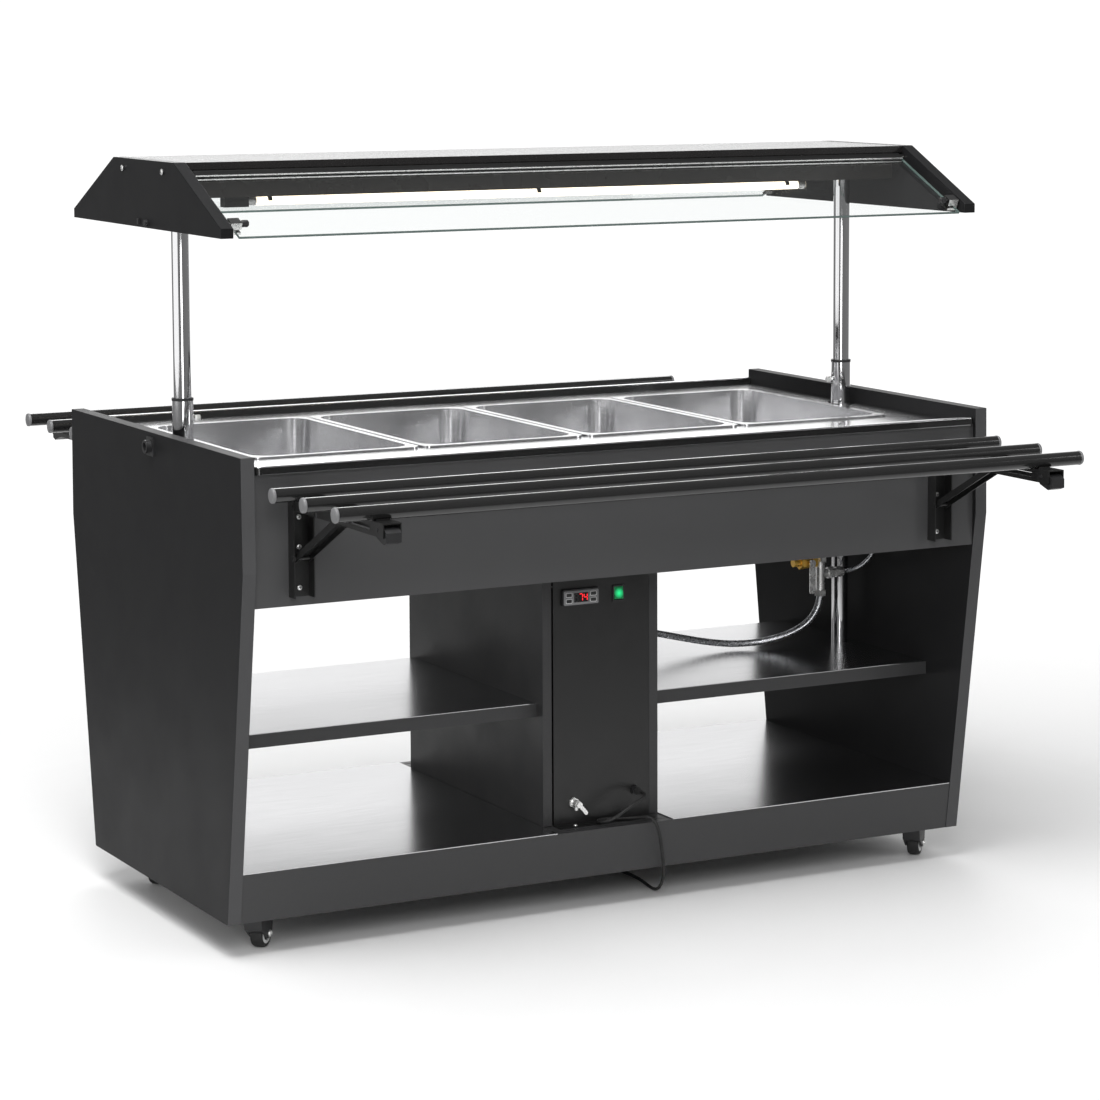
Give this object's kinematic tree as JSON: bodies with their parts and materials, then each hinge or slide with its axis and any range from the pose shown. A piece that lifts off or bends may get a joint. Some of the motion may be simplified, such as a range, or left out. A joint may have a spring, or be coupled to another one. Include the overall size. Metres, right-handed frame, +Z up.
{
  "type": "steam table unit",
  "caption": "Mobile heated serving counter with lift-out steel pans, a lit glass canopy on posts, folding tray slides, open shelves and swivel castors.",
  "frame": {"origin": "on the floor under the middle of the cabinet", "axes": "+Z up, +X along the counter to the right seen from the front, front towards -Y"},
  "size_m": [1.5322, 1.592, 1.369],
  "materials": {
    "charcoal_laminate": "satin charcoal laminate on board",
    "stainless_steel": "satin stainless sheet",
    "chrome": "polished",
    "black_steel": "black powder coat",
    "clear_glass": "clear toughened glass",
    "lamp_glass": "warm white fluorescent tube",
    "black_plastic": "fine satin",
    "green_plastic": "translucent",
    "brass": "cast and turned",
    "braided_hose": "rubber hose in a stainless braid",
    "black_rubber": "smooth",
    "wheel_rubber": "moulded"
  },
  "bodies": {
    "cabinet": {"end_panels": "charcoal_laminate", "fascias": "charcoal_laminate", "cabinet_boards": "charcoal_laminate", "steel_shelves": "stainless_steel", "column_sides": "charcoal_laminate", "column_panels": "black_steel", "counter_deck": "stainless_steel", "well_tank": "stainless_steel", "heating_element": "stainless_steel", "pan_bars": "stainless_steel", "post_sleeves": "chrome", "control_fittings": "black_plastic", "water_valves": "brass", "pipe_fittings": "chrome", "water_hoses": "braided_hose", "power_cord": "black_rubber", "cord_coil": "black_rubber", "power_plug": "black_plastic", "tray_wall_channels": "black_steel", "cabinet_screws": "chrome", "castor_plates": "black_steel"},
    "canopy": {"canopy_posts": "chrome", "canopy_end_panels": "charcoal_laminate", "canopy_roof": "black_steel", "lamp_housing": "black_steel", "lamp_tube": "lamp_glass", "canopy_fittings": "black_plastic"},
    "thumbscrew_left": {"thumbscrew_left": "black_plastic"},
    "thumbscrew_right": {"thumbscrew_right": "black_plastic"},
    "front_visor": {"front_visor_glass": "clear_glass", "front_visor_fittings": "black_steel"},
    "visor_knob_front_left": {"visor_knob_front_left": "black_plastic"},
    "visor_knob_front_right": {"visor_knob_front_right": "black_plastic"},
    "front_tray": {"front_tray_rails": "black_steel", "front_tray_arms": "black_steel"},
    "front_strut": {"front_tray_struts": "black_steel"},
    "front_latch": {"front_tray_latches": "black_plastic"},
    "rear_visor": {"rear_visor_glass": "clear_glass", "rear_visor_fittings": "black_steel"},
    "visor_knob_rear_left": {"visor_knob_rear_left": "black_plastic"},
    "visor_knob_rear_right": {"visor_knob_rear_right": "black_plastic"},
    "rear_tray": {"rear_tray_rails": "black_steel", "rear_tray_arms": "black_steel"},
    "rear_strut": {"rear_tray_struts": "black_steel"},
    "rear_latch": {"rear_tray_latches": "black_plastic"},
    "castor_fork_front_left": {"castor_fork_front_left": "black_plastic"},
    "castor_wheel_front_left": {"castor_wheel_front_left": "wheel_rubber"},
    "castor_fork_front_right": {"castor_fork_front_right": "black_plastic"},
    "castor_wheel_front_right": {"castor_wheel_front_right": "wheel_rubber"},
    "castor_fork_rear_left": {"castor_fork_rear_left": "black_plastic"},
    "castor_wheel_rear_left": {"castor_wheel_rear_left": "wheel_rubber"},
    "castor_fork_rear_right": {"castor_fork_rear_right": "black_plastic"},
    "castor_wheel_rear_right": {"castor_wheel_rear_right": "wheel_rubber"},
    "pan_1": {"pan_1": "stainless_steel"},
    "pan_2": {"pan_2": "stainless_steel"},
    "pan_3": {"pan_3": "stainless_steel"},
    "pan_4": {"pan_4": "stainless_steel"},
    "rocker_switch": {"rocker_switch": "green_plastic"},
    "valve_handle": {"valve_handle": "chrome"},
    "drain_lever": {"drain_lever": "chrome"}
  },
  "joints": [
    {"name": "canopy_slide", "type": "slide", "parent": "cabinet", "child": "canopy", "axis": [0, 0, 1], "range_m": [0, 0.2]},
    {"name": "thumbscrew_left_turn", "type": "hinge", "parent": "cabinet", "child": "thumbscrew_left", "pos_m": [-0.672, 0, 0.905], "axis": [1, 0, 0], "range_deg": [0, 360]},
    {"name": "thumbscrew_right_turn", "type": "hinge", "parent": "cabinet", "child": "thumbscrew_right", "pos_m": [0.672, 0, 0.905], "axis": [1, 0, 0], "range_deg": [0, 360]},
    {"name": "front_visor_lift", "type": "hinge", "parent": "canopy", "child": "front_visor", "pos_m": [0, -0.15, 1.349], "axis": [-1, 0, 0], "range_deg": [0, 55]},
    {"name": "visor_knob_front_left_turn", "type": "hinge", "parent": "front_visor", "child": "visor_knob_front_left", "pos_m": [-0.72, -0.3348, 1.27199], "axis": [1, 0, 0], "range_deg": [0, 360]},
    {"name": "visor_knob_front_right_turn", "type": "hinge", "parent": "front_visor", "child": "visor_knob_front_right", "pos_m": [0.72, -0.3348, 1.27199], "axis": [1, 0, 0], "range_deg": [0, 360]},
    {"name": "front_tray_fold", "type": "hinge", "parent": "cabinet", "child": "front_tray", "pos_m": [0, -0.428, 0.803], "axis": [1, 0, 0], "range_deg": [0, 90]},
    {"name": "front_strut_swing", "type": "hinge", "parent": "cabinet", "child": "front_strut", "pos_m": [0, -0.428, 0.709], "axis": [1, 0, 0], "range_deg": [0, 117]},
    {"name": "front_latch_press", "type": "hinge", "parent": "front_tray", "child": "front_latch", "pos_m": [0, -0.768, 0.803], "axis": [1, 0, 0], "range_deg": [0, 12], "stiffness_Nm_per_rad": 0.6, "springref_deg": -11.46},
    {"name": "rear_visor_lift", "type": "hinge", "parent": "canopy", "child": "rear_visor", "pos_m": [0, 0.15, 1.349], "axis": [1, 0, 0], "range_deg": [0, 55]},
    {"name": "visor_knob_rear_left_turn", "type": "hinge", "parent": "rear_visor", "child": "visor_knob_rear_left", "pos_m": [-0.72, 0.3348, 1.27199], "axis": [1, 0, 0], "range_deg": [0, 360]},
    {"name": "visor_knob_rear_right_turn", "type": "hinge", "parent": "rear_visor", "child": "visor_knob_rear_right", "pos_m": [0.72, 0.3348, 1.27199], "axis": [1, 0, 0], "range_deg": [0, 360]},
    {"name": "rear_tray_fold", "type": "hinge", "parent": "cabinet", "child": "rear_tray", "pos_m": [0, 0.428, 0.803], "axis": [-1, 0, 0], "range_deg": [0, 90]},
    {"name": "rear_strut_swing", "type": "hinge", "parent": "cabinet", "child": "rear_strut", "pos_m": [0, 0.428, 0.709], "axis": [-1, 0, 0], "range_deg": [0, 117]},
    {"name": "rear_latch_press", "type": "hinge", "parent": "rear_tray", "child": "rear_latch", "pos_m": [0, 0.768, 0.803], "axis": [-1, 0, 0], "range_deg": [0, 12], "stiffness_Nm_per_rad": 0.6, "springref_deg": -11.46},
    {"name": "castor_swivel_front_left", "type": "hinge", "parent": "cabinet", "child": "castor_fork_front_left", "pos_m": [-0.684, -0.284, 0.055], "axis": [0, 0, 1], "continuous": true},
    {"name": "castor_roll_front_left", "type": "hinge", "parent": "castor_fork_front_left", "child": "castor_wheel_front_left", "pos_m": [-0.66844, -0.26844, 0.025], "axis": [-0.7071, 0.7071, 0], "continuous": true},
    {"name": "castor_swivel_front_right", "type": "hinge", "parent": "cabinet", "child": "castor_fork_front_right", "pos_m": [0.684, -0.284, 0.055], "axis": [0, 0, 1], "continuous": true},
    {"name": "castor_roll_front_right", "type": "hinge", "parent": "castor_fork_front_right", "child": "castor_wheel_front_right", "pos_m": [0.69956, -0.26844, 0.025], "axis": [-0.7071, 0.7071, 0], "continuous": true},
    {"name": "castor_swivel_rear_left", "type": "hinge", "parent": "cabinet", "child": "castor_fork_rear_left", "pos_m": [-0.684, 0.215, 0.055], "axis": [0, 0, 1], "continuous": true},
    {"name": "castor_roll_rear_left", "type": "hinge", "parent": "castor_fork_rear_left", "child": "castor_wheel_rear_left", "pos_m": [-0.66844, 0.23056, 0.025], "axis": [-0.7071, 0.7071, 0], "continuous": true},
    {"name": "castor_swivel_rear_right", "type": "hinge", "parent": "cabinet", "child": "castor_fork_rear_right", "pos_m": [0.684, 0.215, 0.055], "axis": [0, 0, 1], "continuous": true},
    {"name": "castor_roll_rear_right", "type": "hinge", "parent": "castor_fork_rear_right", "child": "castor_wheel_rear_right", "pos_m": [0.69956, 0.23056, 0.025], "axis": [-0.7071, 0.7071, 0], "continuous": true},
    {"name": "pan_1_lift", "type": "slide", "parent": "cabinet", "child": "pan_1", "axis": [0, 0, 1], "range_m": [0, 0.25]},
    {"name": "pan_2_lift", "type": "slide", "parent": "cabinet", "child": "pan_2", "axis": [0, 0, 1], "range_m": [0, 0.25]},
    {"name": "pan_3_lift", "type": "slide", "parent": "cabinet", "child": "pan_3", "axis": [0, 0, 1], "range_m": [0, 0.25]},
    {"name": "pan_4_lift", "type": "slide", "parent": "cabinet", "child": "pan_4", "axis": [0, 0, 1], "range_m": [0, 0.25]},
    {"name": "rocker_press", "type": "hinge", "parent": "cabinet", "child": "rocker_switch", "pos_m": [0.035, -0.283, 0.5715], "axis": [1, 0, 0], "range_deg": [0, 14]},
    {"name": "valve_turn", "type": "hinge", "parent": "cabinet", "child": "valve_handle", "pos_m": [0.58, -0.0808, 0.554], "axis": [0, 1, 0], "range_deg": [0, 90]},
    {"name": "drain_turn", "type": "hinge", "parent": "cabinet", "child": "drain_lever", "pos_m": [-0.059, -0.3118, 0.192], "axis": [0, 1, 0], "range_deg": [0, 90]}
  ],
  "couplings": [
    {"joint": "front_strut_swing", "follows": "front_tray_fold", "ratio": 1.298},
    {"joint": "rear_strut_swing", "follows": "rear_tray_fold", "ratio": 1.298}
  ]
}
